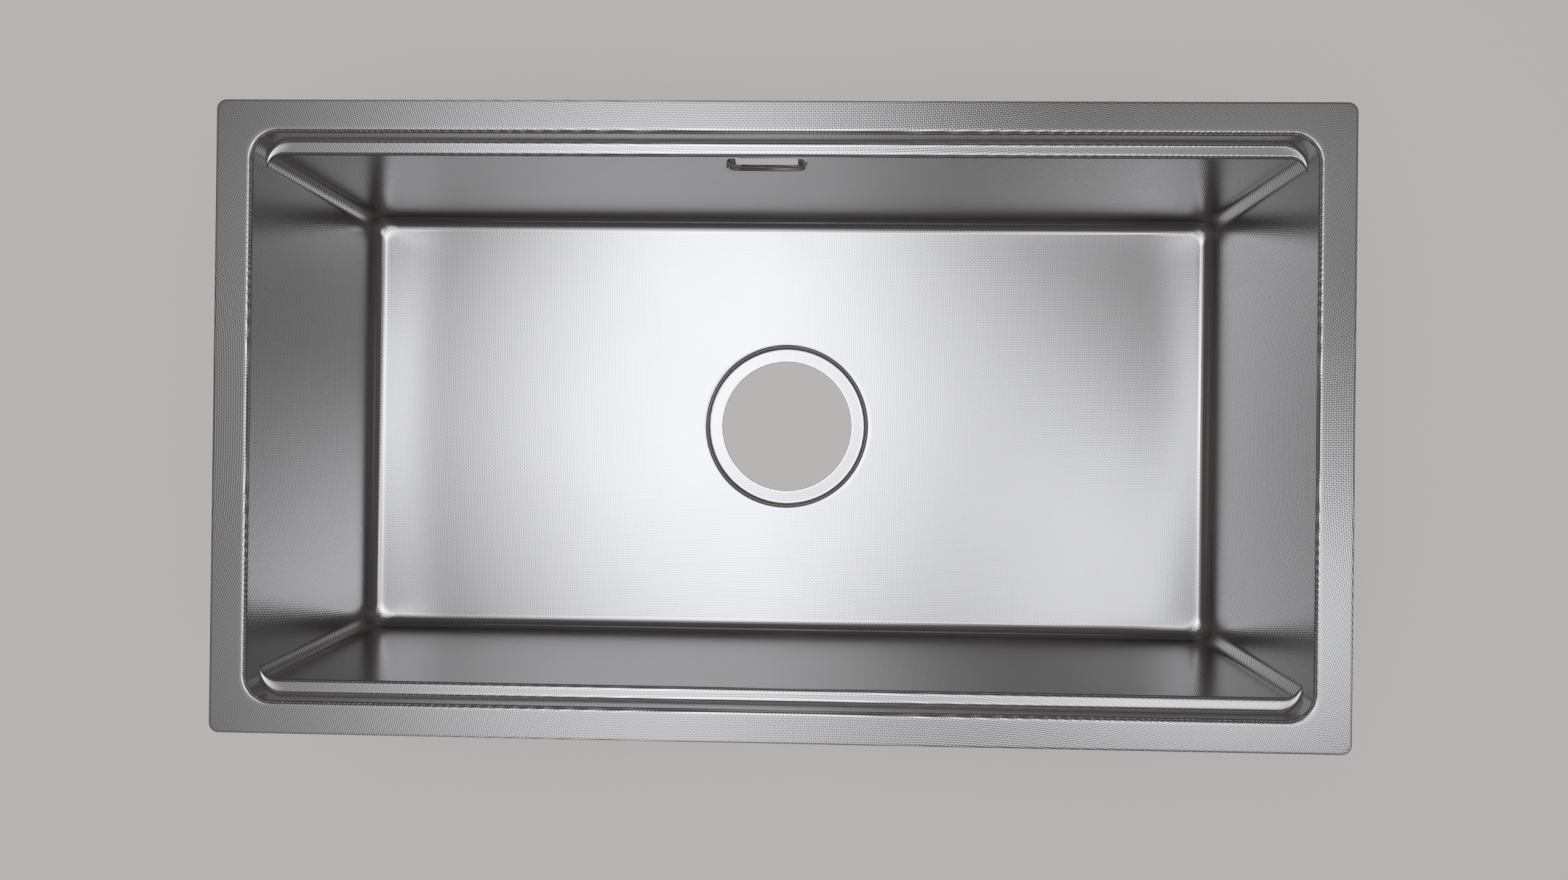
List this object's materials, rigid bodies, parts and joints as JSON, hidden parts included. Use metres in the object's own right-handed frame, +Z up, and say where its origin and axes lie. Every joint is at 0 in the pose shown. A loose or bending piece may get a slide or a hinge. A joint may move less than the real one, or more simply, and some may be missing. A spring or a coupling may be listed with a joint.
{
  "type": "undermount kitchen sink bowl",
  "caption": "Single-bowl rectangular undermount sink pressed from embossed steel, with a ledge along front and back, an overflow slot, a large waste recess and rubber deadening pads outside.",
  "frame": {"origin": "middle of the flat underside of the waste recess, which is the lowest face and lies under the middle of the bowl", "axes": "+X to the user's right along the longer side, +Y to the back wall that has the overflow, +Z up out of the bowl's mouth"},
  "size_m": [0.8, 0.45, 0.2312],
  "materials": {
    "embossed_steel": "bright steel sheet embossed all over with a fine staggered pattern of rounded bumps, smooth only on the overflow seat",
    "deadening_rubber": "matt charcoal self-adhesive rubber sheet"
  },
  "bodies": {
    "root": {"basin": "embossed_steel", "base_pad_front_left": "deadening_rubber", "base_pad_front_right": "deadening_rubber", "base_pad_rear_left": "deadening_rubber", "base_pad_rear_right": "deadening_rubber", "front_wall_pad_left": "deadening_rubber", "front_wall_pad_right": "deadening_rubber", "rear_wall_pad_left": "deadening_rubber", "rear_wall_pad_right": "deadening_rubber", "left_wall_pad": "deadening_rubber", "right_wall_pad": "deadening_rubber"}
  },
  "joints": []
}
